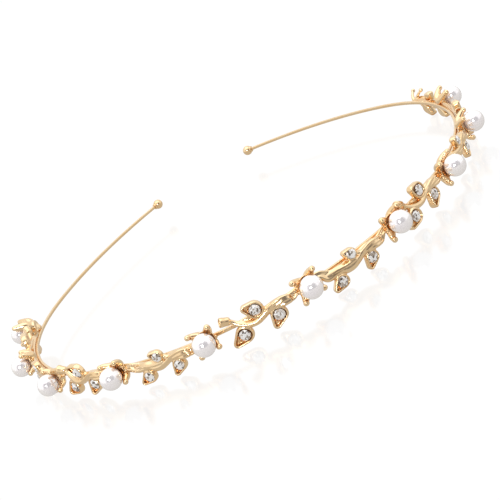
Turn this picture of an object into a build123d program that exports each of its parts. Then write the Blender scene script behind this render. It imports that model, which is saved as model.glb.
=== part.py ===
from build123d import *
import math
import os

# Bridal tiara: a slim sprung headband with ten pearls and ten vines along it.  Each pearl
# sits in a clawed cup, and each vine holds three round crystals in leaf-shaped settings.
# Cups and vines are cast together in lengths, and each length is soldered to the band.
#
# Frame: the tiara lies on its side, as it rests on a table.  The plane of the band is
# horizontal, +Z is up, the crown points to -Y and the two open ends point to +Y.
# The origin is the centre of the underside of the whole tiara's box.
# Sizes are in millimetres.

# --- Headband -----------------------------------------------------------------------
# The inner face of one half of the band, from the crown to the end, is three tangent
# arcs: (radius, angle swept in degrees).
BAND_ARCS = ((52.0, 28.0), (64.0, 90.0), (107.0, 28.5))
BAND_HEIGHT = 0.85
BAND_THICKNESS = 0.7
BAND_EDGE_ROUND = 0.2
BALL_DIAMETER = 2.8
BALL_SLOT_DEPTH = 1.2
SLOT_CLEARANCE = 0.03

# --- Pearls and vines along the band ---------------------------------------------------
# Pearl number n is followed, to its right, by vine number n.
PITCH = 22.5                      # from one pearl to the next, along the inner face
FIRST_PEARL = -109.0              # the left-hand pearl, measured from the crown
# Bent and soldered by hand, so each sits a little off its even place, along and up.
PEARL_SLIP = (0.0, -1.0, -1.6, -0.5, 0.1, 0.5, 0.0, -0.8, -0.5, 3.4)
PEARL_LIFT = (1.2, 0.3, -0.2, 0.1, 0.4, 0.4, 0.2, -0.2, -0.1, 0.1)
VINE_SLIP = (0.0, -1.2, -1.5, -0.2, 0.4, -0.3, -1.0, -0.8, 0.3, 1.0)
VINE_LIFT = (0.8, 0.1, 0.4, -0.3, 0.3, -0.6, 0.2, -0.2, -0.1, -0.7)
# The first pearl's cup stands out from the band, and the last pearl sits close to it.
PEARL_REACH = (0.9,) + (0.0,) * 8 + (-0.4,)

# --- Castings: the vines and the pearl cups in each, by number ----------------------------
# The first is a cup by itself.  The others are two vines long, each starting with a bud,
# and the last is cut off at the end of its second vine.
CASTINGS = {
    "end_cup_casting": ((), (0,)),
    "vine_casting_1": ((0, 1), (1, 2)),
    "vine_casting_2": ((2, 3), (3, 4)),
    "vine_casting_3": ((4, 5), (5, 6)),
    "vine_casting_4": ((6, 7), (7, 8)),
    "vine_casting_5": ((8, 9), (9,)),
}

# --- Stem, solder face on the band's outer face -------------------------------------------
STEM_FROM = 5.2                   # where a vine that starts a casting leaves the band
STEM_TO = 19.6                    # where the last vine is cut off
STEM_THICKNESS = 1.3
STEM_HEIGHT = 1.7
FOOT_REACH = 2.0                  # how far the stem runs past a cup's centre
SHOOT_AT = 18.4                   # foot of the two ball-ended shoots on the last vine
SHOOT_ANGLES = (52.0, 125.0)

# --- Bud: the hollow root end of a casting, just above the pearl before it --------------
BUD_DIAMETER = 1.7
BUD_LENGTH = 3.4
BUD_AT = (4.0, 2.3)               # centre of its open end: along, up
BUD_OUT = 1.9
BUD_SLOPE = -25.0                 # degrees, from the open end back into the stem
BUD_BORE_DIAMETER = 1.1
BUD_BORE_DEPTH = 0.6

# --- Leaf settings: along, up, and the direction of the tip from the stone --------------
LEAVES = (
    ("lower", 7.0, -2.35, 206.0),
    ("upper", 11.2, 1.5, 146.0),
    ("end", 14.9, -1.9, 232.0),
)
LEAF_BASE = 1.5                   # outward distance of the leaf's back from the inner face
LEAF_THICKNESS = 1.4
LEAF_RADIUS = 1.95
LEAF_TIP_REACH = 2.2
LEAF_TIP_RADIUS = 0.9
SMALL_LEAF = 0.84                 # size of the leaves on a vine that runs on from a cup
RIM_WIDTH = 0.4
RECESS_DEPTH = 0.5
COLLAR_RADIUS = 1.4
SEAT_DEPTH = 0.8
STALK_RADIUS = 0.65
STALK_THICKNESS = 1.3
STALK_LEAN = 0.6                  # the stalk joins the stem this far past the stone

# --- Crystals: flat-backed round stones --------------------------------------------------
STONE_DIAMETER = 2.2
STONE_TABLE = 1.3
STONE_BACK = 1.5
STONE_HEIGHT = 1.1
GIRDLE_LOW = 0.45
GIRDLE_HIGH = 0.6
SEAT_CLEARANCE = 0.05

# --- Pearl and its cup --------------------------------------------------------------------
PEARL_DIAMETER = 5.0
PEARL_OUT = 5.0                   # outward distance of the pearl's centre
PEARL_UP = 0.25                   # the pearl sits a little above the stem's middle
CUP_CLEARANCE = 0.05
CUP_BASE_OUT = 1.2
CUP_BASE_RADIUS = 1.6
CUP_FLARE_OUT = 1.7
CUP_RIM_OUT = 3.3
CUP_RIM_RADIUS = 2.6
PEG_DIAMETER = 0.8
PEG_TOP_OUT = 4.3
PEG_ROOT = 0.5
PEARL_BORE_DIAMETER = 0.9
PEARL_BORE_DEPTH = 2.1
CLAW_ANGLES = (52.0, 140.0, 232.0, 318.0)
CLAW_RADIUS = 0.45
CLAW_TIP_DIAMETER = 1.2
CLAW_PATH = ((1.2, 1.9), (2.6, 2.35), (3.4, 3.55))     # radius from cup axis, outward

HALF_LENGTH = sum(radius * math.radians(angle) for radius, angle in BAND_ARCS)


def heading_and_point(along, out=0.0):
    """Heading (radians from +X) and point in plan of the band at a distance along its
    inner face from the crown, negative to the left, and a distance outwards from it."""
    left = abs(along)
    heading, x, y = 0.0, 0.0, 0.0
    for radius, angle in BAND_ARCS:
        turn = min(left / radius, math.radians(angle))
        x += radius * (math.sin(heading + turn) - math.sin(heading))
        y += radius * (math.cos(heading) - math.cos(heading + turn))
        heading += turn
        left -= radius * turn
    x += out * math.sin(heading)
    y -= out * math.cos(heading)
    side = math.copysign(1.0, along)
    return side * heading, (side * x, y)


def station(along, out=0.0, up=0.0, spin=0.0):
    """Plane facing outwards at a place on the band, its x turned by spin degrees from
    the band's own direction towards +Z."""
    heading, (x, y) = heading_and_point(along, out)
    flat, rise = math.cos(math.radians(spin)), math.sin(math.radians(spin))
    x_dir = (flat * math.cos(heading), flat * math.sin(heading), rise)
    return Plane((x, y, up), x_dir=x_dir, z_dir=(math.sin(heading), -math.cos(heading), 0))


def section_plane(along, up=0.0, spin=0.0):
    """Plane that holds the outward axis of a station: x away from the axis in the
    direction of spin, y outwards."""
    face = station(along, 0.0, up, spin)
    return Plane(face.origin, x_dir=face.x_dir, z_dir=face.x_dir.cross(face.z_dir))


def arc_along_band(start, end, out):
    """Adds the arc or arcs that follow the band from start to end, at a distance out."""
    joint, joints = 0.0, []
    for radius, angle in BAND_ARCS:
        joint += radius * math.radians(angle)
        joints += [-joint, joint]
    low, high = min(start, end), max(start, end)
    stops = [low] + sorted(j for j in joints if low < j < high) + [high]
    for first, last in zip(stops, stops[1:]):
        places = (first, (first + last) / 2, last)
        ThreePointArc(*(heading_and_point(place, out)[1] for place in places))


def strip_outline(start, end, inner, outer):
    """Adds the plan outline of a strip that follows the band between two distances."""
    arc_along_band(start, end, inner)
    arc_along_band(start, end, outer)
    for place in (start, end):
        Line(heading_and_point(place, inner)[1], heading_and_point(place, outer)[1])


def leaf_outline(size, inset):
    """Adds a blunt teardrop: a round end about the stone and a smaller rounded tip."""
    Circle(size * LEAF_RADIUS - inset)
    with Locations((size * LEAF_TIP_REACH, 0)):
        Circle(size * LEAF_TIP_RADIUS - inset)
    make_hull()


def pearl_place(pearl):
    """Distance of one pearl along the band."""
    return FIRST_PEARL + PITCH * pearl + PEARL_SLIP[pearl]


def vine_place(vine):
    """Distance along the band from which one vine's own places are measured."""
    return FIRST_PEARL + PITCH * vine + VINE_SLIP[vine]


def leaf_place(vine, leaf, out):
    """Plane of one leaf of one vine, at a distance outwards."""
    _, along, up, spin = leaf
    return station(vine_place(vine) + along, out, VINE_LIFT[vine] + up, spin)


def make_band():
    """The sprung strip, cut to its outline and rounded along its edges."""
    with BuildPart() as band:
        with BuildSketch():
            with BuildLine():
                strip_outline(-HALF_LENGTH, HALF_LENGTH, 0.0, BAND_THICKNESS)
            make_face()
        extrude(amount=BAND_HEIGHT / 2, both=True)
        long_edges = band.edges().filter_by(GeomType.CIRCLE)
        fillet(long_edges, BAND_EDGE_ROUND)
    return band


def make_ball(side):
    """A ball pushed onto one end of the band, with a slot that takes the strip."""
    seat = station(side * HALF_LENGTH, BAND_THICKNESS / 2)
    centre_shift = side * (BALL_DIAMETER / 2 - BALL_SLOT_DEPTH)
    slot_size = (
        2 * BALL_DIAMETER,
        BAND_HEIGHT + 2 * SLOT_CLEARANCE,
        BAND_THICKNESS + 2 * SLOT_CLEARANCE,
    )
    with BuildPart(seat) as ball:
        with Locations((centre_shift, 0, 0)):
            Sphere(BALL_DIAMETER / 2)
        with Locations((-side * BALL_DIAMETER, 0, 0)):
            Box(*slot_size, mode=Mode.SUBTRACT)
    return ball


def make_stem(start, end, lift):
    """A bar that is soldered along the band from start to end."""
    outer = BAND_THICKNESS + STEM_THICKNESS
    with BuildPart() as stem:
        with BuildSketch(Plane.XY.offset(lift - STEM_HEIGHT / 2)):
            with BuildLine():
                strip_outline(start, end, BAND_THICKNESS, outer)
            make_face()
        extrude(amount=STEM_HEIGHT)
    return stem


def make_bud(vine):
    """The root end of a casting: a short round stub with a hollow end."""
    along, up = BUD_AT
    mouth = station(vine_place(vine) + along, BUD_OUT, VINE_LIFT[vine] + up, BUD_SLOPE)
    with BuildPart() as bud:
        with BuildSketch(Plane(mouth.origin, x_dir=mouth.z_dir, z_dir=mouth.x_dir)):
            Circle(BUD_DIAMETER / 2)
        extrude(amount=BUD_LENGTH)
        with BuildSketch(Plane(mouth.origin, x_dir=mouth.z_dir, z_dir=mouth.x_dir)):
            Circle(BUD_BORE_DIAMETER / 2)
        extrude(amount=BUD_BORE_DEPTH, mode=Mode.SUBTRACT)
    return bud


def make_claw(along, up, angle, reach):
    """A curved arm from a place on the band outwards, with a bead on its end."""
    outline = tuple((radius, out + reach) for radius, out in CLAW_PATH)
    with BuildPart() as claw:
        with BuildLine(section_plane(along, up, angle)) as path:
            ThreePointArc(*outline)
        with BuildSketch(Plane(path.line @ 0, z_dir=path.line % 0)):
            Circle(CLAW_RADIUS)
        sweep(path=path.line)
        with Locations(path.line @ 1):
            Sphere(CLAW_TIP_DIAMETER / 2)
    return claw


def make_leaf(vine, leaf, size):
    """One leaf-shaped setting: a dished teardrop with a collar and a seat for a stone,
    and the stalk that joins it to the stem."""
    back = leaf_place(vine, leaf, LEAF_BASE)
    front = back.offset(LEAF_THICKNESS)
    stalk_back = back.offset(-STALK_THICKNESS / 3)
    stalk_at = vine_place(vine) + leaf[1] + STALK_LEAN
    stalk_root = station(stalk_at, LEAF_BASE, VINE_LIFT[vine])
    root = back.to_local_coords(stalk_root.origin)
    with BuildPart() as setting:
        with BuildSketch(stalk_back):
            Circle(STALK_RADIUS)
            with Locations((root.X, root.Y)):
                Circle(STALK_RADIUS)
            make_hull()
        extrude(amount=STALK_THICKNESS)
        with BuildSketch(back):
            leaf_outline(size, 0.0)
        extrude(amount=LEAF_THICKNESS)
        with BuildSketch(front):
            leaf_outline(size, RIM_WIDTH)
        extrude(amount=-RECESS_DEPTH, mode=Mode.SUBTRACT)
        with BuildSketch(front):
            Circle(COLLAR_RADIUS)
        extrude(amount=-LEAF_THICKNESS / 2)
        with BuildSketch(front):
            Circle(STONE_DIAMETER / 2 + SEAT_CLEARANCE)
        extrude(amount=-SEAT_DEPTH, mode=Mode.SUBTRACT)
    return setting


def make_cup(pearl):
    """The cup under a pearl: a flared bowl, four claws that end in beads, and a peg."""
    place = pearl_place(pearl)
    up = PEARL_LIFT[pearl] + PEARL_UP
    reach = PEARL_REACH[pearl]
    section = section_plane(place, up)
    peg_foot = CUP_BASE_OUT + reach + PEG_ROOT
    with BuildPart() as cup:
        with BuildSketch(section):
            with BuildLine():
                Polyline(
                    (0, CUP_BASE_OUT),
                    (CUP_BASE_RADIUS, CUP_BASE_OUT),
                    (CUP_BASE_RADIUS, CUP_FLARE_OUT + reach),
                    (CUP_RIM_RADIUS, CUP_RIM_OUT + reach),
                    (0, CUP_RIM_OUT + reach),
                    close=True,
                )
            make_face()
        revolve(axis=Axis(section.origin, section.y_dir))
        for angle in CLAW_ANGLES:
            add(make_claw(place, up, angle, reach).part)
        with Locations(station(place, PEARL_OUT + reach, up)):
            Sphere(PEARL_DIAMETER / 2 + CUP_CLEARANCE, mode=Mode.SUBTRACT)
        with BuildSketch(station(place, peg_foot, up)):
            Circle(PEG_DIAMETER / 2)
        extrude(amount=PEG_TOP_OUT + reach - peg_foot)
    return cup


def make_vine(vine, has_cup_before, has_cup_after):
    """The features of one vine: its stem, from cup to cup, its leaf settings, and a bud
    or two shoots at an end that has no cup."""
    start = pearl_place(vine) if has_cup_before else vine_place(vine) + STEM_FROM
    end = vine_place(vine) + STEM_TO
    size = SMALL_LEAF if has_cup_before else 1.0
    features = [make_leaf(vine, leaf, size) for leaf in LEAVES]
    if not has_cup_before:
        features.append(make_bud(vine))
    if has_cup_after:
        end = pearl_place(vine + 1) + FOOT_REACH
    else:
        shoots_at = vine_place(vine) + SHOOT_AT
        features += [make_claw(shoots_at, VINE_LIFT[vine], angle, 0.0) for angle in SHOOT_ANGLES]
    return [make_stem(start, end, VINE_LIFT[vine])] + features


def make_casting(vines, pearls):
    """One soldered length: its vines and pearl cups in one piece."""
    features = [make_cup(pearl) for pearl in pearls]
    for vine in vines:
        features += make_vine(vine, vine in pearls, vine + 1 in pearls)
    if not vines:
        place = pearl_place(pearls[0])
        foot = make_stem(place - FOOT_REACH, place + FOOT_REACH, PEARL_LIFT[pearls[0]] / 2)
        features.append(foot)
    with BuildPart() as casting:
        for feature in features:
            add(feature.part)
    return casting


def make_pearl(pearl):
    """A round pearl, half drilled from behind for the peg."""
    out = PEARL_OUT + PEARL_REACH[pearl]
    centre = station(pearl_place(pearl), out, PEARL_LIFT[pearl] + PEARL_UP)
    with BuildPart(centre) as ball:
        Sphere(PEARL_DIAMETER / 2)
        with Locations((0, 0, -PEARL_DIAMETER / 2)):
            Cylinder(
                PEARL_BORE_DIAMETER / 2,
                PEARL_BORE_DEPTH,
                align=(Align.CENTER, Align.CENTER, Align.MIN),
                mode=Mode.SUBTRACT,
            )
    return ball


def make_stone(vine, leaf):
    """A flat-backed round crystal: back, pavilion, girdle, crown and table."""
    seat = LEAF_BASE + LEAF_THICKNESS - SEAT_DEPTH
    _, along, up, _ = leaf
    section = section_plane(vine_place(vine) + along, VINE_LIFT[vine] + up)
    with BuildPart() as stone:
        with BuildSketch(section):
            with BuildLine():
                Polyline(
                    (0, seat),
                    (STONE_BACK / 2, seat),
                    (STONE_DIAMETER / 2, seat + GIRDLE_LOW),
                    (STONE_DIAMETER / 2, seat + GIRDLE_HIGH),
                    (STONE_TABLE / 2, seat + STONE_HEIGHT),
                    (0, seat + STONE_HEIGHT),
                    close=True,
                )
            make_face()
        revolve(axis=Axis(section.origin, section.y_dir))
    return stone


pieces = {
    "band": make_band(),
    "left_end_ball": make_ball(-1),
    "right_end_ball": make_ball(1),
}
for casting_name, members in CASTINGS.items():
    pieces[casting_name] = make_casting(*members)
for number in range(len(PEARL_SLIP)):
    tag = f"{number + 1:02d}"
    pieces[f"pearl_{tag}"] = make_pearl(number)
    for leaf_setting in LEAVES:
        pieces[f"crystal_{tag}_{leaf_setting[0]}"] = make_stone(number, leaf_setting)

boxes = [piece.part.bounding_box() for piece in pieces.values()]
lowest = [min(tuple(box.min)[side] for box in boxes) for side in range(3)]
highest = [max(tuple(box.max)[side] for box in boxes) for side in range(3)]
to_origin = Location((-(lowest[0] + highest[0]) / 2, -(lowest[1] + highest[1]) / 2, -lowest[2]))

os.makedirs("parts", exist_ok=True)
for name, piece in pieces.items():
    moved = piece.part.moved(to_origin)
    moved.label = name
    export_step(moved, f"parts/{name}.step")
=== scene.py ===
import math
import random

import bpy
import numpy as np
from mathutils import Matrix, Vector


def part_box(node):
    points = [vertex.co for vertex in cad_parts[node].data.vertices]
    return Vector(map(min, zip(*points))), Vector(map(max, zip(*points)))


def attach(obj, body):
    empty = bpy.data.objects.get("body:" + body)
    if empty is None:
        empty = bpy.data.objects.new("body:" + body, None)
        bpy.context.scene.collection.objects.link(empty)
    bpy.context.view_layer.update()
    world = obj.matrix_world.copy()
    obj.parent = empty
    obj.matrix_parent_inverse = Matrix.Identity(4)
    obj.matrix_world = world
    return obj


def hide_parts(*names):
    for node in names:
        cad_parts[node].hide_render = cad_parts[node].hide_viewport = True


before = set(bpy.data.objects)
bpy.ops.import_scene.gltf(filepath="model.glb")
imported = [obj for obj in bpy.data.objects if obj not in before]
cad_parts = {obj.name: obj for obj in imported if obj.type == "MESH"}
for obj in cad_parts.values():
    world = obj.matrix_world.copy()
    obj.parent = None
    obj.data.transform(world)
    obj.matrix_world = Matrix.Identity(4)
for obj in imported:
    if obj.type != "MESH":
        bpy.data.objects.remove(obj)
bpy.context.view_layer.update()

# Bridal tiara: the looks of the band, its castings, pearls and crystals.
#
# Lengths are in millimetres until a mesh is placed.  Most shapes are built on the band laid
# out straight, in (along, up, out): along the band's inner face from the crown, upwards from
# the band's middle, and outwards from its inner face.  bend() then lays them on the real curve.
# Distances inside the materials and between the lamps and the tiara are in metres.

MM = 0.001
random.seed(4)

# --- The band's curve ---------------------------------------------------------------------
BAND_ARCS = ((52.0, 28.0), (64.0, 90.0), (107.0, 28.5))      # radius, degrees, from the crown
HALF_LENGTH = sum(radius * math.radians(angle) for radius, angle in BAND_ARCS)
BAND_THICKNESS = 0.7
BAND_HEIGHT = 0.85
BAND_ROUND = 0.2
BAND_RINGS = 359                  # sections along the strip, about 1 mm apart
BAND_GRAIN_STEP = 0.1             # how far the brushing runs on from one section to the next

band_low, band_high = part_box("band")
CROWN = Vector((
    (band_low.x + band_high.x) / 2,
    band_low.y + BAND_THICKNESS * MM,
    (band_low.z + band_high.z) / 2,
))                                # middle of the inner face at the crown

# --- Leaves of a vine: name, along, up, direction of the tip in degrees --------------------
LEAVES = (
    ("lower", 7.0, -2.35, 206.0),
    ("upper", 11.2, 1.5, 146.0),
    ("end", 14.9, -1.9, 232.0),
)
PEARL_RADIUS = 2.5
PEARL_OUT = 5.0
# The four claws of a cup: angle about the pearl, and the bead's distance from the cup's axis
# and outwards.
CLAWS = ((56.0, 3.4, 3.7), (140.0, 3.6, 3.5), (232.0, 3.6, 3.5), (318.0, 2.9, 4.0))

# A cup's bowl width, how much longer its arms are, and the weight of its last claw: for the
# cup by itself, for the first of two cups in a casting, and for a casting's last cup.
LONE_CUP = (1.3, 1.1, 1.2)
MIDDLE_CUP = (1.1, 0.0, 1.05)
LAST_CUP = (1.0, 0.0, 0.62)

STONE_OUT = 2.62                  # a crystal's girdle, outwards
STONE_FOIL_FROM = 32              # the first of the points in a crystal's lower half
BALL_RADIUS = 1.4                 # of the balls on the band's ends

# The vines and pearl cups in each casting, by number from the left.
CASTINGS = {
    "end_cup_casting": ((), (0,)),
    "vine_casting_1": ((0, 1), (1, 2)),
    "vine_casting_2": ((2, 3), (3, 4)),
    "vine_casting_3": ((4, 5), (5, 6)),
    "vine_casting_4": ((6, 7), (7, 8)),
    "vine_casting_5": ((8, 9), (9,)),
}
PEARL_COUNT = 10

VOXEL = 0.12
GOLD_PALE = (0.88, 0.69, 0.45)
GOLD_MID = (0.88, 0.64, 0.37)
# The next two colours are painted shade: what the gold is darkened to in its recesses.
PAINTED_SHADE_DEEP = (0.85, 0.58, 0.33)
PAINTED_SHADE_DARK = (0.55, 0.32, 0.16)


# ==========================================================================================
# Places on the band
# ==========================================================================================
def band_curve(along):
    """Heading, x and y of the inner face at distances along it, running on straight past
    the ends."""
    left = np.abs(along)
    heading = np.zeros_like(left)
    x, y = np.zeros_like(left), np.zeros_like(left)
    for radius, angle in BAND_ARCS:
        turn = np.minimum(left / radius, math.radians(angle))
        x = x + radius * (np.sin(heading + turn) - np.sin(heading))
        y = y + radius * (np.cos(heading) - np.cos(heading + turn))
        heading = heading + turn
        left = left - radius * turn
    x, y = x + left * np.cos(heading), y + left * np.sin(heading)
    side = np.where(along < 0, -1.0, 1.0)
    return side * heading, side * x, y


def bend(points):
    """Points in (along, up, out) laid on the band, in metres."""
    points = np.asarray(points, float)
    heading, x, y = band_curve(points[:, 0])
    out = points[:, 2]
    laid = np.stack((x + out * np.sin(heading), y - out * np.cos(heading), points[:, 1]), 1)
    return laid * MM + np.array(CROWN)


def frame_at(along, up, out):
    """Matrix that puts a small rigid shape, in mm, at a place on the band: its x along
    the band, y up and z outwards."""
    heading = float(band_curve(np.array([along]))[0][0])
    spot = Vector(bend([(along, up, out)])[0])
    axes = Matrix((
        (math.cos(heading), 0.0, math.sin(heading)),
        (math.sin(heading), 0.0, -math.cos(heading)),
        (0.0, 1.0, 0.0),
    ))
    return Matrix.Translation(spot) @ axes.to_4x4() @ Matrix.Scale(MM, 4)


def locate(node):
    """(along, up, out) of the middle of a CAD node's box."""
    low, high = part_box(node)
    spot = np.array((low + high) / 2 - CROWN) / MM
    along = np.arange(-HALF_LENGTH, HALF_LENGTH, 0.02)
    heading, x, y = band_curve(along)
    near = np.argmin((x - spot[0]) ** 2 + (y - spot[1]) ** 2)
    reach = (spot[0] - x[near]) * np.sin(heading[near]) - (spot[1] - y[near]) * np.cos(heading[near])
    return np.array((along[near], spot[2], reach))


def locate_vine(number):
    """(along, up, 0) from which a vine's own places are measured, found from its crystals."""
    starts = []
    for name, along, up, _ in LEAVES:
        starts.append(locate(f"crystal_{number + 1:02d}_{name}") - np.array((along, up, 0)))
    return np.mean(starts, axis=0) * np.array((1, 1, 0))


PEARLS = [locate(f"pearl_{number + 1:02d}") for number in range(PEARL_COUNT)]
VINES = [locate_vine(number) for number in range(PEARL_COUNT)]


# ==========================================================================================
# Shapes of soft metal
# ==========================================================================================
class Lumps:
    """Closed lumps in (along, up, out) that will be fused into one casting."""

    def __init__(self):
        self.points, self.faces = [], []

    def add_rings(self, rings):
        """Skins a stack of equal rings of points and closes both ends."""
        first, count = len(self.points), len(rings[0])
        for ring in rings:
            self.points += [tuple(point) for point in ring]
        for level in range(len(rings) - 1):
            low = first + level * count
            for k in range(count):
                after = (k + 1) % count
                self.faces.append((low + k, low + after, low + count + after, low + count + k))
        last = first + (len(rings) - 1) * count
        self.faces.append(tuple(first + k for k in reversed(range(count))))
        self.faces.append(tuple(last + k for k in range(count)))


def smooth_path(controls, per_span=8):
    """Catmull-Rom curve through rows of numbers."""
    rows = np.array(controls, float)
    rows = np.vstack((2 * rows[0] - rows[1], rows, 2 * rows[-1] - rows[-2]))
    curve = []
    for k in range(1, len(rows) - 2):
        a, b, c, d = rows[k - 1:k + 3]
        for t in np.linspace(0, 1, per_span, endpoint=False):
            curve.append(0.5 * (2 * b + (c - a) * t + (2 * a - 5 * b + 4 * c - d) * t ** 2
                                + (3 * b - a - 3 * c + d) * t ** 3))
    curve.append(rows[-2])
    return np.array(curve)


def unit(vector):
    return vector / np.linalg.norm(vector)


def tube(lumps, controls, flat=1.0, lobes=0, depth=0.0, twist=0.0, sides=20):
    """A bar along (along, up, out, radius) controls.  flat thins it in the outward
    direction; lobes, depth and twist cut rope-like grooves in it."""
    curve = smooth_path(controls)
    spots, radii = curve[:, :3], curve[:, 3]
    ways = np.gradient(spots, axis=0)
    run = np.concatenate(([0.0], np.cumsum(np.linalg.norm(np.diff(spots, axis=0), axis=1))))
    angles = np.linspace(0, 2 * math.pi, sides, endpoint=False)
    rings = []

    def ring(spot, way, radius, travelled):
        way = unit(way)
        side = np.cross((0.0, 0.0, 1.0), way)
        side = unit(side) if np.linalg.norm(side) > 0.05 else np.array((0.0, 1.0, 0.0))
        rise = np.cross(way, side)
        grooved = radius * (1 + depth * np.cos(lobes * angles + math.radians(twist) * travelled))
        rings.append(spot + np.outer(grooved * np.cos(angles), side)
                     + flat * np.outer(grooved * np.sin(angles), rise))

    for bow in (80, 50, 25):
        back = radii[0] * math.sin(math.radians(bow)) * 0.8
        ring(spots[0] - unit(ways[0]) * back, ways[0], radii[0] * math.cos(math.radians(bow)), 0.0)
    for spot, way, radius, travelled in zip(spots, ways, radii, run):
        ring(spot, way, radius, travelled)
    for bow in (25, 50, 80):
        on = radii[-1] * math.sin(math.radians(bow)) * 0.8
        ring(spots[-1] + unit(ways[-1]) * on, ways[-1], radii[-1] * math.cos(math.radians(bow)), run[-1])
    lumps.add_rings(rings)


def turned(lumps, foot, axis, profile, sides=24):
    """A turned shape: rings of (radius, distance along the axis) about a foot point."""
    axis = unit(np.array(axis, float))
    side = np.cross(axis, (0.0, 0.0, 1.0))
    side = unit(side) if np.linalg.norm(side) > 0.05 else np.array((1.0, 0.0, 0.0))
    rise = np.cross(axis, side)
    angles = np.linspace(0, 2 * math.pi, sides, endpoint=False)
    rings = []
    for radius, distance in profile:
        middle = np.array(foot, float) + axis * distance
        spokes = np.outer(np.cos(angles), side) + np.outer(np.sin(angles), rise)
        rings.append(middle + max(radius, 0.01) * spokes)
    lumps.add_rings(rings)


def bead(lumps, spot, radius):
    """A round bead."""
    arc = np.radians(np.linspace(-88, 88, 12))
    turned(lumps, spot, (0, 0, 1), [(radius * math.cos(a), radius * math.sin(a)) for a in arc])


def teardrop(stone_radius, tip_radius, reach):
    """Outline points of a blunt teardrop: a round end about the origin, its tip on +x."""
    lean = math.acos((stone_radius - tip_radius) / reach)
    outline = []
    for angle in np.linspace(lean, 2 * math.pi - lean, 40):
        outline.append((stone_radius * math.cos(angle), stone_radius * math.sin(angle)))
    for angle in np.linspace(-lean, lean, 14):
        outline.append((reach + tip_radius * math.cos(angle), tip_radius * math.sin(angle)))
    return np.array(outline)


LEAF_RADIUS = 1.95
LEAF_TIP_RADIUS = 0.92
LEAF_TIP_REACH = 2.2
# Size of the lower, upper and end leaf, on a vine that starts with a bud and on one that
# runs on from a cup.
BUD_VINE_LEAVES = (1.0, 0.95, 0.95)
CUP_VINE_LEAVES = (0.82, 0.68, 0.82)
# A leaf's section, from the middle of its back over the rolled rim to its floor: inset from
# the outline, and height outwards.  The collar round its stone: radius, and height outwards.
LEAF_SECTION = (
    (0.62, 1.30), (0.25, 1.38), (0.04, 1.62), (0.0, 2.10), (0.02, 2.50), (0.12, 2.80),
    (0.28, 2.92), (0.44, 2.86), (0.53, 2.66), (0.56, 2.36), (0.60, 2.15),
)
STONE_COLLAR = (
    (0.9, 1.6), (1.30, 1.7), (1.36, 2.2), (1.34, 2.46), (1.26, 2.54), (1.18, 2.46), (1.1, 2.3),
    (0.9, 2.2),
)


def leaf_setting(lumps, vine, leaf, size):
    """One leaf: a dish with a thick rolled rim, its tip curled out a little, and a low
    collar round the stone."""
    _, along, up, spin = leaf
    turn = math.radians(spin)
    rings = []
    for inset, height in LEAF_SECTION:
        tip_radius = max(size * LEAF_TIP_RADIUS - inset, 0.08)
        outline = teardrop(size * LEAF_RADIUS - inset, tip_radius, size * LEAF_TIP_REACH)
        curl = 0.05 * np.maximum(outline[:, 0], 0) ** 2 * (0.35 + 0.65 * (height > 2.3))
        swell = 1 + 0.03 * np.sin(3 * np.arctan2(outline[:, 1], outline[:, 0]) + along)
        x = outline[:, 0] * swell
        y = outline[:, 1] * swell
        rings.append(np.stack((
            vine[0] + along + x * math.cos(turn) - y * math.sin(turn),
            vine[1] + up + x * math.sin(turn) + y * math.cos(turn),
            height + curl,
        ), 1))
    lumps.add_rings(rings)
    turned(lumps, (vine[0] + along, vine[1] + up, 0.0), (0, 0, 1), STONE_COLLAR)


def shifted(base, rows):
    """Control rows moved by a base place; the fourth number, the radius, stays."""
    return [(base[0] + row[0], base[1] + row[1], row[2], row[3]) for row in rows]


BUD_MOUTH = (3.75, 2.4, 2.4)      # middle of the open end: along and up from the vine, and out
BUD_SLOPE = math.radians(-25)
BUD_LEAN = -0.35                  # how far its axis turns back towards the band
# From the floor of the hollow, over the lip, to the closed end: radius, distance along.
BUD_PROFILE = (
    (0.05, 0.9), (0.56, 0.85), (0.64, 0.4), (0.70, 0.05), (0.82, -0.06), (0.98, 0.0),
    (1.06, 0.2), (1.02, 0.6), (0.94, 1.2), (0.92, 1.8), (0.78, 2.15), (0.3, 2.3),
)


def bud(lumps, vine):
    """The hollow flared root end of a vine that starts a casting."""
    along, up, out = BUD_MOUTH
    axis = (math.cos(BUD_SLOPE), math.sin(BUD_SLOPE), BUD_LEAN)
    turned(lumps, (vine[0] + along, vine[1] + up, out), axis, BUD_PROFILE)


# The strands of a vine, as rows of along, up, out and radius from the vine's own place.
FRONT_STRAND = (
    (7.9, -0.48, 2.0, 0.78), (9.2, -0.92, 2.1, 0.84), (10.6, -0.98, 2.15, 0.82),
    (12.0, -0.6, 2.15, 0.74), (13.3, -0.1, 2.15, 0.70), (14.6, 0.2, 2.2, 0.76),
    (16.0, 0.38, 2.25, 0.86), (17.3, 0.22, 2.25, 0.88),
)
BACK_STRAND = (
    (8.2, 0.28, 1.55, 0.46), (10.0, 0.36, 1.55, 0.50), (11.8, 0.32, 1.5, 0.50),
    (13.4, 0.42, 1.5, 0.48), (15.0, 0.66, 1.6, 0.46), (16.6, 0.72, 1.7, 0.44),
)
BROAD_START = (
    (4.6, 0.1, 1.7, 0.60), (7.0, 0.1, 1.85, 0.78), (9.4, -0.2, 1.95, 0.84), (11.6, -0.2, 2.0, 0.80),
)
HOOD_RIDGES = (
    ((12.6, 0.15, 2.35, 0.24), (14.2, 0.6, 2.6, 0.30), (16.0, 1.0, 2.7, 0.34),
     (17.6, 0.85, 2.6, 0.34), (18.3, 0.5, 2.4, 0.28)),
    ((13.2, -0.25, 2.5, 0.22), (14.8, 0.1, 2.75, 0.30), (16.4, 0.28, 2.9, 0.34),
     (17.8, 0.1, 2.8, 0.34), (18.4, -0.15, 2.6, 0.28)),
    ((14.4, -0.25, 2.4, 0.26), (15.6, -0.30, 2.75, 0.40), (16.9, -0.42, 2.9, 0.48),
     (18.1, -0.5, 2.75, 0.46)),
)
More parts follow.
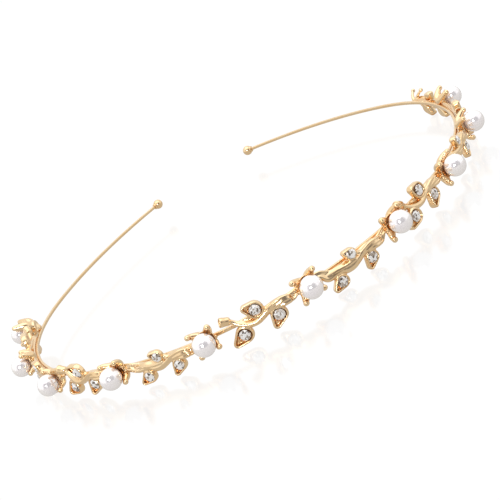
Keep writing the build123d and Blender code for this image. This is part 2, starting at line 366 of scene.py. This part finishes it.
LEAF_STALKS = (
    ((7.6, -1.5, 1.9, 0.55), (8.5, -0.9, 2.0, 0.6)),
    ((12.3, 0.8, 1.9, 0.55), (13.2, 0.3, 2.0, 0.55)),
    ((15.9, -1.1, 1.9, 0.55), (17.0, -0.2, 2.1, 0.6)),
)


def strand_starts(lumps, number, cup_before):
    """The first rows of the front and the back strand, from a cup or from a bud."""
    vine = VINES[number]
    if not cup_before:
        front = ((5.2, 1.75, 1.9, 0.56), (5.9, 1.15, 1.85, 0.50), (6.7, 0.3, 1.9, 0.62))
        return shifted(vine, front), shifted(vine, ((5.6, 0.2, 1.25, 0.34), (6.8, 0.15, 1.4, 0.42)))
    tube(lumps, shifted(vine, BROAD_START), lobes=3, depth=0.08, twist=18)
    pearl = PEARLS[number]
    front = shifted(pearl, ((0.9, -0.1, 1.5, 0.62), (2.7, -0.3, 1.75, 0.62)))
    front += shifted(vine, ((4.8, -0.42, 1.95, 0.66), (6.4, -0.45, 2.0, 0.68)))
    back = shifted(pearl, ((0.9, 0.5, 1.4, 0.5), (3.0, 0.45, 1.5, 0.46)))
    return front, back + shifted(vine, ((6.0, 0.5, 1.5, 0.46),))


def strand_ends(lumps, number, cup_after):
    """The last rows of the front and the back strand.  Where a cup follows, they run under
    it, and a thin arm runs on from the hood into its nearest lower claw."""
    vine = VINES[number]
    if not cup_after:
        return shifted(vine, ((19.4, 0.0, 2.0, 0.60),)), shifted(vine, ((19.2, 0.5, 1.5, 0.42),))
    pearl = PEARLS[number + 1]
    arm = shifted(vine, ((17.4, -0.5, 2.5, 0.38), (18.8, -0.75, 2.2, 0.30)))
    arm += shifted(pearl, ((-2.7, -0.65, 2.1, 0.32), (-1.9, -1.0, 2.0, 0.44), (-2.0, -2.1, 2.8, 0.50)))
    tube(lumps, arm)
    front = shifted(vine, ((18.3, -0.05, 1.9, 0.50),))
    front += shifted(pearl, ((-2.6, -0.5, 1.6, 0.36), (-1.4, -0.4, 1.5, 0.42), (0.0, 0.0, 1.4, 0.6)))
    back = shifted(vine, ((18.2, 0.45, 1.6, 0.40),))
    return front, back + shifted(pearl, ((-1.5, 0.2, 1.4, 0.45), (0, 0, 1.4, 0.5)))


def vine_strands(lumps, number, cup_before, cup_after):
    """The stem of one vine: a thick front strand in a long S, a back strand behind it, and
    a hood of three ridges over the last stone."""
    vine = VINES[number]
    front_start, back_start = strand_starts(lumps, number, cup_before)
    front_end, back_end = strand_ends(lumps, number, cup_after)
    tube(lumps, front_start + shifted(vine, FRONT_STRAND) + front_end, lobes=3, depth=0.07, twist=18)
    tube(lumps, back_start + shifted(vine, BACK_STRAND) + back_end, lobes=3, depth=0.10, twist=-20)
    for bar in HOOD_RIDGES + LEAF_STALKS:
        tube(lumps, shifted(vine, bar))


# Where the soldered bar starts on a vine with no cup before it, and ends on the last vine.
BACKING_FROM = 5.4
BACKING_TO = 19.2
CUP_FOOT = 1.6                    # how far the bar runs past a cup's axis


def backing(lumps, start, end, up):
    """The flat soldered bar behind a casting."""
    steps = np.linspace(start, end, max(3, int((end - start) / 3)))
    tube(lumps, [(step, up, 1.0, 0.42) for step in steps], flat=0.8)


def cup(lumps, pearl, bowl, tall, heft_of_last):
    """The clawed cup behind a pearl: a flared bowl that hugs it and four petal arms that
    end in beads.  bowl scales its width and its arms' weight, tall lengthens the arms, and
    the claw on the far side from the vine before it has its own weight."""
    along, up, out = pearl
    reach = out - PEARL_OUT
    foot = (along, up, reach)
    turned(lumps, foot, (0, 0, 1), [(radius * bowl, height) for radius, height in (
        (0.9, 0.8 - reach), (1.35, 0.9 - reach), (1.5, 1.3), (1.7, 1.7), (1.9, 2.05), (2.0, 2.35),
        (2.0, 2.55), (1.92, 2.65), (1.8, 2.55), (1.5, 2.35), (0.8, 2.3),
    )], sides=40)
    for claw, (angle, span, lift) in enumerate(CLAWS):
        heft = heft_of_last if claw == len(CLAWS) - 1 else bowl
        flat, rise = math.cos(math.radians(angle)), math.sin(math.radians(angle))
        lift += tall
        arm = ((0.5, 1.5, 0.90 * heft), (1.5, 1.7, 0.95 * heft), (0.45 * span + 0.8, 2.3, 0.84 * heft),
               (span - 0.35, lift - 0.65, 0.64 * heft), (span - 0.1, lift - 0.25, 0.54 * heft))
        tube(lumps, [(along + r * flat, up + r * rise, reach + o, size) for r, o, size in arm])
        bead(lumps, (along + span * flat, up + span * rise, reach + lift), 0.64)


SHOOTS_AT = 18.4                  # foot of the two shoots, along the last vine
SHOOT_ANGLES = (52.0, 125.0)


def shoots(lumps, vine):
    """Two ball-ended shoots at the cut end of the last vine."""
    foot = vine[0] + SHOOTS_AT
    for angle in SHOOT_ANGLES:
        flat, rise = math.cos(math.radians(angle)), math.sin(math.radians(angle))
        arm = ((0.4, 1.6, 0.5), (1.5, 1.9, 0.45), (2.4, 2.5, 0.38), (3.0, 3.2, 0.36))
        tube(lumps, [(foot + r * flat, vine[1] + r * rise, o, size) for r, o, size in arm])
        bead(lumps, (foot + 3.2 * flat, vine[1] + 3.2 * rise, 3.5), 0.56)


# ==========================================================================================
# Meshes
# ==========================================================================================
def new_object(name, points, faces):
    mesh = bpy.data.meshes.new(name)
    mesh.from_pydata([tuple(point) for point in points], [], faces)
    mesh.update()
    piece = bpy.data.objects.new(name, mesh)
    bpy.context.scene.collection.objects.link(piece)
    return piece


def shade_smooth(piece):
    piece.data.polygons.foreach_set("use_smooth", [True] * len(piece.data.polygons))
    piece.data.update()


def fuse(name, lumps):
    """Melts the lumps into one skin, softens it, and lays it on the band."""
    raw = new_object(name + "_raw", lumps.points, lumps.faces)
    melt = raw.modifiers.new("melt", "REMESH")
    melt.mode = "VOXEL"
    melt.voxel_size = VOXEL
    soften = raw.modifiers.new("soften", "SMOOTH")
    soften.factor = 0.5
    soften.iterations = 3
    graph = bpy.context.evaluated_depsgraph_get()
    skin = bpy.data.meshes.new_from_object(raw.evaluated_get(graph))
    bpy.data.objects.remove(raw)
    points = np.zeros(len(skin.vertices) * 3)
    skin.vertices.foreach_get("co", points)
    skin.vertices.foreach_set("co", bend(points.reshape(-1, 3)).ravel())
    skin.update()
    piece = bpy.data.objects.new(name, skin)
    bpy.context.scene.collection.objects.link(piece)
    shade_smooth(piece)
    return piece


def show(piece, material, slot, *nodes):
    """Gives a piece its material and body, and lets it stand for its CAD nodes; slot is not used."""
    piece.data.materials.append(material)
    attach(piece, "root")
    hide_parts(*nodes)
    return piece


def make_casting(name, vines, pearls):
    """One casting: its vines and cups in one skin."""
    lumps = Lumps()
    for pearl in pearls:
        style = LONE_CUP if not vines else LAST_CUP if pearl == pearls[-1] else MIDDLE_CUP
        cup(lumps, PEARLS[pearl], *style)
    for number in vines:
        vine = VINES[number]
        cup_before, cup_after = number in pearls, number + 1 in pearls
        vine_strands(lumps, number, cup_before, cup_after)
        for leaf, size in zip(LEAVES, CUP_VINE_LEAVES if cup_before else BUD_VINE_LEAVES):
            leaf_setting(lumps, vine, leaf, size)
        start = PEARLS[number][0] if cup_before else vine[0] + BACKING_FROM
        end = PEARLS[number + 1][0] + CUP_FOOT if cup_after else vine[0] + BACKING_TO
        backing(lumps, start, end, vine[1] / 2)
        if not cup_before:
            bud(lumps, vine)
        if not cup_after:
            shoots(lumps, vine)
    if not vines:
        along, up, _ = PEARLS[pearls[0]]
        backing(lumps, along - CUP_FOOT, along + CUP_FOOT, up / 2)
        tube(lumps, ((along, up / 2, 1.1, 1.2), (along, up, 1.8, 1.2), (along, up, 2.6, 1.3)))
    return fuse(name, lumps)


def make_band():
    """The strip: a rounded section carried along the curve."""
    section = []
    half_out, half_up = BAND_THICKNESS / 2 - BAND_ROUND, BAND_HEIGHT / 2 - BAND_ROUND
    for corner, (side_out, side_up) in enumerate(((1, 1), (-1, 1), (-1, -1), (1, -1))):
        for step in range(5):
            angle = math.radians(90 * corner + 22.5 * step)
            section.append((
                BAND_THICKNESS / 2 + side_out * half_out + BAND_ROUND * math.cos(angle),
                side_up * half_up + BAND_ROUND * math.sin(angle),
            ))
    count = len(section)
    stations = np.linspace(-HALF_LENGTH, HALF_LENGTH, BAND_RINGS)
    points = [(along, up, out) for along in stations for out, up in section]
    faces = [tuple(reversed(range(count)))]
    for ring in range(len(stations) - 1):
        low = ring * count
        for k in range(count):
            after = (k + 1) % count
            faces.append((low + k, low + count + k, low + count + after, low + after))
    last = (len(stations) - 1) * count
    faces.append(tuple(last + k for k in range(count)))
    strip = new_object("band_strip", bend(points), faces)
    lengthwise = strip.data.uv_layers.new(name="lengthwise")
    for loop in strip.data.loops:
        ring, corner = divmod(loop.vertex_index, count)
        lengthwise.data[loop.index].uv = (ring * BAND_GRAIN_STEP, corner / count)
    shade_smooth(strip)
    return strip


def make_ball(name):
    """An end ball with a small sleeve where the strip enters it."""
    along, up, out = locate(name)
    side = math.copysign(1.0, along)
    lumps = Lumps()
    arc = np.radians(np.linspace(-88, 88, 32))
    profile = [(BALL_RADIUS * math.cos(a), BALL_RADIUS * math.sin(a)) for a in arc]
    turned(lumps, (0.0, 0.0, 0.0), (1, 0, 0), profile, sides=48)
    sleeve = ((0.5, 1.0), (0.86, 1.1), (0.9, 1.35), (0.82, 1.5), (0.5, 1.56))
    turned(lumps, (0.0, 0.0, 0.0), (-side, 0, 0), sleeve)
    ball = new_object(name + "_piece", lumps.points, lumps.faces)
    ball.data.transform(frame_at(along, up, out))
    shade_smooth(ball)
    return ball


def make_pearl(number):
    """A slightly uneven round pearl."""
    along, up, out = PEARLS[number]
    bpy.ops.mesh.primitive_uv_sphere_add(segments=72, ring_count=48, radius=PEARL_RADIUS)
    pearl = bpy.context.object
    pearl.name = f"pearl_{number + 1:02d}_piece"
    phase = random.uniform(0, 6)
    points = np.array([v.co for v in pearl.data.vertices])
    wave = np.sin(points @ (0.9, 0.7, -0.5) + phase) + 0.6 * np.sin(points @ (-0.6, 1.1, 0.8) + 2 * phase)
    points *= (1 - 0.006 * (1.6 - wave))[:, None]
    pearl.data.vertices.foreach_set("co", points.ravel())
    pearl.data.transform(Matrix.Rotation(phase, 4, (0.3, 0.5, 0.8)))
    pearl.data.transform(frame_at(along, up, out))
    shade_smooth(pearl)
    return pearl


def make_crystal(name, along, up, out, spin):
    """A cut round stone: table, star and kite facets, girdle, and pavilion to a point."""
    levels = (
        (8, 0.66, 0.54, 0.0), (8, 1.0, 0.36, 22.5), (16, 1.24, 0.08, 0.0),
        (16, 1.24, 0.0, 0.0), (8, 0.62, -0.28, 0.0),
    )
    points = []
    rings = []
    for count, radius, height, turn in levels:
        rings.append(range(len(points), len(points) + count))
        for k in range(count):
            angle = math.radians(turn + spin + 360 * k / count)
            points.append((radius * math.cos(angle), radius * math.sin(angle), height))
    points.append((0.0, 0.0, -0.42))
    table, kites, top, base, mains = rings
    faces = [tuple(table)]
    for k in range(8):
        after = (k + 1) % 8
        two, three, four = 2 * k, (2 * k + 1) % 16, (2 * k + 2) % 16
        faces.append((table[k], kites[k], table[after]))
        faces.append((table[after], kites[k], top[four], kites[after]))
        faces.append((kites[k], top[three], top[four]))
        faces.append((kites[k], top[two], top[three]))
        for first, second in ((two, three), (three, four)):
            faces.append((top[first], base[first], base[second], top[second]))
        faces.append((base[two], mains[k], base[three]))
        faces.append((base[three], mains[k], mains[after]))
        faces.append((base[three], mains[after], base[four]))
        faces.append((mains[k], len(points) - 1, mains[after]))
    stone = new_object(name, points, faces)
    stone.data.transform(frame_at(along, up, out))
    return stone


# ==========================================================================================
# Materials
# ==========================================================================================
class Nodes:
    """Short hand for a material's node tree."""

    def __init__(self, name):
        self.material = bpy.data.materials.new(name)
        self.material.use_nodes = True
        self.tree = self.material.node_tree
        self.surface = self.tree.nodes["Principled BSDF"]

    def add(self, kind, **inputs):
        node = self.tree.nodes.new(kind)
        for key, value in inputs.items():
            if hasattr(node, key):
                setattr(node, key, value)
            else:
                self.put(node, key.replace("_", " "), value)
        return node

    def put(self, node, socket, value):
        if isinstance(value, bpy.types.NodeSocket):
            self.tree.links.new(value, node.inputs[socket])
        else:
            node.inputs[socket].default_value = value

    def set(self, socket, value):
        self.put(self.surface, socket, value)

    def noise(self, scale, detail=3.0, vector=None):
        node = self.add("ShaderNodeTexNoise", Scale=scale, Detail=detail)
        if vector is not None:
            self.put(node, "Vector", vector)
        return node.outputs["Fac"]

    def ramp(self, factor, *stops):
        node = self.add("ShaderNodeValToRGB")
        self.put(node, "Fac", factor)
        band = node.color_ramp
        while len(band.elements) < len(stops):
            band.elements.new(0.5)
        for element, (place, color) in zip(band.elements, stops):
            element.position = place
            element.color = (*color, 1.0)
        return node.outputs["Color"]

    def span(self, factor, low, high, to_low, to_high):
        node = self.add("ShaderNodeMapRange", From_Min=low, From_Max=high)
        self.put(node, "To Min", to_low)
        self.put(node, "To Max", to_high)
        self.put(node, "Value", factor)
        return node.outputs["Result"]

    def blend(self, factor, first, second, mode="MIX"):
        node = self.add("ShaderNodeMix", data_type="RGBA", blend_type=mode)
        sockets = (node.inputs[0], node.inputs[6], node.inputs[7])
        for socket, value in zip(sockets, (factor, first, second)):
            if isinstance(value, bpy.types.NodeSocket):
                self.tree.links.new(value, socket)
            else:
                socket.default_value = value
        return node.outputs[2]

    def bump(self, height, strength, distance):
        node = self.add("ShaderNodeBump", Strength=strength, Distance=distance)
        self.put(node, "Height", height)
        return node.outputs["Normal"]


def object_space(nodes):
    return nodes.add("ShaderNodeTexCoord").outputs["Object"]


def plated_gold(name, brushed):
    """Warm champagne plating, with painted shade: its colour turns orange and dark brown in the recesses.
    The strip is brushed lengthwise; the castings keep a fine cast skin."""
    nodes = Nodes(name)
    place = object_space(nodes)
    patches = nodes.noise(220.0, 3.0, place)
    color = nodes.ramp(patches, (0.32, GOLD_MID), (0.66, GOLD_PALE))
    # Painted shade: the ambient occlusion value darkens the base colour to orange and dark brown in
    # recesses and between parts.
    shade = nodes.add("ShaderNodeAmbientOcclusion", samples=8, Distance=0.0016)
    hollow = shade.outputs["AO"]
    depth = nodes.ramp(hollow, (0.12, PAINTED_SHADE_DARK), (0.45, PAINTED_SHADE_DEEP), (0.80, (1.0, 0.97, 0.92)))
    color = nodes.blend(0.75, color, depth, "MULTIPLY")
    nodes.set("Base Color", color)
    nodes.set("Metallic", 1.0)
    if brushed:
        lengthwise = nodes.add("ShaderNodeUVMap", uv_map="lengthwise").outputs["UV"]
        stretch = nodes.add("ShaderNodeMapping", Scale=(0.05, 0.4, 1.0))
        nodes.put(stretch, "Vector", lengthwise)
        grain = nodes.noise(30.0, 4.0, stretch.outputs["Vector"])
        nodes.set("Roughness", nodes.span(grain, 0.3, 0.7, 0.16, 0.30))
        nodes.set("Normal", nodes.bump(grain, 0.12, 0.00004))
    else:
        nodes.set("Roughness", nodes.span(nodes.noise(900.0, 4.0, place), 0.3, 0.7, 0.13, 0.26))
        skin = nodes.noise(1500.0, 3.0, place)
        hammered = nodes.noise(520.0, 2.0, place)
        soft = nodes.bump(hammered, 0.20, 0.00012)
        fine = nodes.add("ShaderNodeBump", Strength=0.10, Distance=0.00005)
        nodes.put(fine, "Height", skin)
        nodes.put(fine, "Normal", soft)
        nodes.set("Normal", fine.outputs["Normal"])
    return nodes.material


def nacre():
    """Bright satin pearl: white, with faint lavender clouds, and a painted pink-grey shade that darkens
    it towards the rim as the surface turns from the view.
    """
    nodes = Nodes("nacre")
    place = object_space(nodes)
    # Painted shade: the colour darkens and turns pinker towards the rim, by the angle to the view.
    facing = nodes.add("ShaderNodeLayerWeight", Blend=0.35).outputs["Facing"]
    painted_rim_shade = nodes.ramp(facing, (0.0, (0.98, 0.96, 0.97)), (0.40, (1.0, 0.98, 0.97)),
                        (0.75, (0.95, 0.90, 0.88)), (1.0, (0.86, 0.80, 0.79)))
    clouds = nodes.noise(330.0, 3.0, place)
    tint = nodes.ramp(clouds, (0.35, (0.96, 0.94, 0.96)), (0.65, (1.0, 0.99, 0.98)))
    nodes.set("Base Color", nodes.blend(1.0, painted_rim_shade, tint, "MULTIPLY"))
    nodes.set("Metallic", 0.42)
    nodes.set("Roughness", nodes.span(nodes.noise(500.0, 3.0, place), 0.3, 0.7, 0.10, 0.18))
    nodes.set("IOR", 1.7)
    nodes.set("Coat Weight", 1.0)
    nodes.set("Coat Roughness", 0.05)
    nodes.set("Coat IOR", 1.85)
    nodes.set("Normal", nodes.bump(nodes.noise(300.0, 2.0, place), 0.03, 0.00004))
    return nodes.material


def cut_glass():
    """Facets of a foiled crystal: nearly white, with painted dark and brown reflections
    in sharp-edged scattered cells of its colour."""
    nodes = Nodes("cut_glass")
    place = object_space(nodes)
    # Painted reflections: Voronoi cells darken the base colour to dark brown and grey-brown.
    shards = nodes.add("ShaderNodeTexVoronoi", Scale=2300.0)
    nodes.put(shards, "Vector", place)
    painted_reflections = nodes.ramp(
        shards.outputs["Color"],
        (0.20, (0.12, 0.08, 0.05)), (0.34, (0.50, 0.42, 0.34)),
        (0.44, (0.95, 0.92, 0.88)), (0.60, (1.0, 1.0, 0.99)),
    )
    nodes.set("Base Color", painted_reflections)
    nodes.set("Metallic", 0.15)
    nodes.set("Transmission Weight", 0.15)
    nodes.set("IOR", 1.8)
    nodes.set("Roughness", nodes.span(nodes.noise(2500.0, 3.0, place), 0.3, 0.7, 0.02, 0.08))
    nodes.set("Coat Weight", 1.0)
    nodes.set("Coat Roughness", 0.03)
    nodes.set("Normal", nodes.bump(nodes.noise(1800.0, 2.0, place), 0.02, 0.00003))
    return nodes.material


def foil():
    """Silver foil behind a crystal, bright, with painted dark glints scattered through its colour."""
    nodes = Nodes("foil")
    place = object_space(nodes)
    # Painted reflections: noise puts dark brown specks into the foil's colour.
    painted_glints = nodes.ramp(
        nodes.noise(2600.0, 1.0, place),
        (0.36, (0.16, 0.11, 0.07)), (0.44, (0.82, 0.78, 0.73)), (0.52, (1.0, 0.99, 0.98)),
    )
    nodes.set("Base Color", painted_glints)
    nodes.set("Metallic", 0.35)
    nodes.set("Roughness", nodes.span(nodes.noise(1500.0, 3.0, place), 0.3, 0.7, 0.15, 0.35))
    nodes.set("Normal", nodes.bump(nodes.noise(2200.0, 2.0, place), 0.05, 0.00003))
    return nodes.material


# ==========================================================================================
# Studio
# ==========================================================================================
CAMERA_TILT = 16.7                # degrees down from level
CAMERA_TURN = 1.47                # degrees round from facing +Y
CAMERA_ROLL = 30.68
CAMERA_LENS = 94.7                # on a 36 mm sensor
CAMERA_DISTANCE = 307.6           # from its aim
CAMERA_AIM = (-1.27, 41.64, 0.0)  # from the crown, in mm
LAMP_AIM = CROWN + Vector((0.0, 0.04, 0.0))


def camera_axes():
    """The way the camera looks, and its level right and up."""
    tilt, turn = math.radians(CAMERA_TILT), math.radians(CAMERA_TURN)
    look = Vector((math.cos(tilt) * math.sin(turn), math.cos(tilt) * math.cos(turn), -math.sin(tilt)))
    right = Vector((math.cos(turn), -math.sin(turn), 0.0))
    return look, right, right.cross(look)


def make_camera():
    look, right, up = camera_axes()
    roll = math.radians(CAMERA_ROLL)
    side = math.cos(roll) * right - math.sin(roll) * up
    top = math.sin(roll) * right + math.cos(roll) * up
    camera = bpy.data.objects.new("camera", bpy.data.cameras.new("camera"))
    bpy.context.scene.collection.objects.link(camera)
    camera.data.lens = CAMERA_LENS
    camera.data.sensor_width = 36.0
    camera.data.clip_start = 0.01
    camera.data.clip_end = 20.0
    aim = CROWN + Vector(CAMERA_AIM) * MM
    axes = Matrix((side, top, -look)).transposed().to_4x4()
    camera.matrix_world = Matrix.Translation(aim - look * CAMERA_DISTANCE * MM) @ axes
    bpy.context.scene.camera = camera


def make_floor():
    """A plain white table with a faint gloss."""
    reach = 3.0
    corners = [(-reach, -reach, 0.0), (reach, -reach, 0.0), (reach, reach, 0.0), (-reach, reach, 0.0)]
    floor = new_object("floor", corners, [(0, 1, 2, 3)])
    material = bpy.data.materials.new("white_table")
    material.use_nodes = True
    tree = material.node_tree
    tree.nodes.clear()
    output = tree.nodes.new("ShaderNodeOutputMaterial")
    path = tree.nodes.new("ShaderNodeLightPath")
    white = tree.nodes.new("ShaderNodeEmission")
    white.inputs["Strength"].default_value = 1.08
    gloss = tree.nodes.new("ShaderNodeBsdfGlossy")
    gloss.inputs["Roughness"].default_value = 0.13
    seen = tree.nodes.new("ShaderNodeMixShader")
    seen.inputs["Fac"].default_value = 0.20
    bounced = tree.nodes.new("ShaderNodeEmission")
    bounced.inputs["Color"].default_value = (1.0, 0.97, 0.93, 1.0)
    bounced.inputs["Strength"].default_value = 0.66
    pick = tree.nodes.new("ShaderNodeMixShader")
    tree.links.new(white.outputs["Emission"], seen.inputs[1])
    tree.links.new(gloss.outputs["BSDF"], seen.inputs[2])
    tree.links.new(path.outputs["Is Camera Ray"], pick.inputs["Fac"])
    tree.links.new(bounced.outputs["Emission"], pick.inputs[1])
    tree.links.new(seen.outputs["Shader"], pick.inputs[2])
    tree.links.new(pick.outputs["Shader"], output.inputs["Surface"])
    floor.data.materials.append(material)


def make_world():
    """White all round, with a dark side behind the camera that gives the metal its depth."""
    world = bpy.data.worlds.new("studio")
    bpy.context.scene.world = world
    world.use_nodes = True
    tree = world.node_tree
    background = tree.nodes["Background"]
    direction = tree.nodes.new("ShaderNodeTexCoord").outputs["Generated"]
    look = camera_axes()[0]
    toward = tree.nodes.new("ShaderNodeVectorMath")
    toward.operation = "DOT_PRODUCT"
    tree.links.new(direction, toward.inputs[0])
    toward.inputs[1].default_value = -look
    ramp = tree.nodes.new("ShaderNodeValToRGB")
    tree.links.new(toward.outputs["Value"], ramp.inputs["Fac"])
    stops = (
        (0.0, (0.92, 0.92, 0.92)), (0.30, (0.97, 0.97, 0.97)), (0.60, (1.0, 1.0, 1.0)),
        (0.72, (0.50, 0.49, 0.50)), (0.82, (0.24, 0.235, 0.25)), (1.0, (0.21, 0.205, 0.22)),
    )
    while len(ramp.color_ramp.elements) < len(stops):
        ramp.color_ramp.elements.new(0.5)
    for element, (place, color) in zip(ramp.color_ramp.elements, stops):
        element.position = place
        element.color = (*color, 1.0)
    tree.links.new(ramp.outputs["Color"], background.inputs["Color"])
    background.inputs["Strength"].default_value = 1.1


def soft_box(name, left, above, distance, size, power):
    """A square lamp behind the camera, turned to the left of it and above it by angles in
    degrees, that faces the tiara.  Lengths in metres."""
    look, right, up = camera_axes()
    way = -look - right * math.tan(math.radians(left)) + up * math.tan(math.radians(above))
    lamp = bpy.data.objects.new(name, bpy.data.lights.new(name, "AREA"))
    bpy.context.scene.collection.objects.link(lamp)
    lamp.data.size = size
    lamp.data.energy = power
    lamp.location = LAMP_AIM + way.normalized() * distance
    lamp.rotation_mode = "QUATERNION"
    lamp.rotation_quaternion = way.to_track_quat("Z", "Y")


# ==========================================================================================
# Build
# ==========================================================================================
cast_gold = plated_gold("cast_gold", brushed=False)
band_gold = plated_gold("band_gold", brushed=True)
pearl_skin = nacre()
glass, silver = cut_glass(), foil()

show(make_band(), band_gold, "band_gold", "band")
for end in ("left_end_ball", "right_end_ball"):
    show(make_ball(end), cast_gold, "casting_gold", end)
for casting, (vines, pearls) in CASTINGS.items():
    show(make_casting(casting + "_piece", vines, pearls), cast_gold, "casting_gold", casting)
for number in range(PEARL_COUNT):
    show(make_pearl(number), pearl_skin, "pearl", f"pearl_{number + 1:02d}")
    for leaf_name, *_ in LEAVES:
        node = f"crystal_{number + 1:02d}_{leaf_name}"
        along, up, _ = locate(node)
        stone = make_crystal(node + "_piece", along, up, STONE_OUT, random.uniform(0, 45))
        show(stone, glass, "crystal", node)
        stone.data.materials.append(silver)
        for face in stone.data.polygons:
            face.material_index = 1 if min(face.vertices) >= STONE_FOIL_FROM else 0

make_floor()
make_world()
make_camera()
soft_box("key", left=14, above=5, distance=1.2, size=0.30, power=4.2)
soft_box("top", left=-10, above=70, distance=1.1, size=1.6, power=6.5)

bpy.context.scene.view_settings.view_transform = "Standard"
bpy.context.view_layer.update()
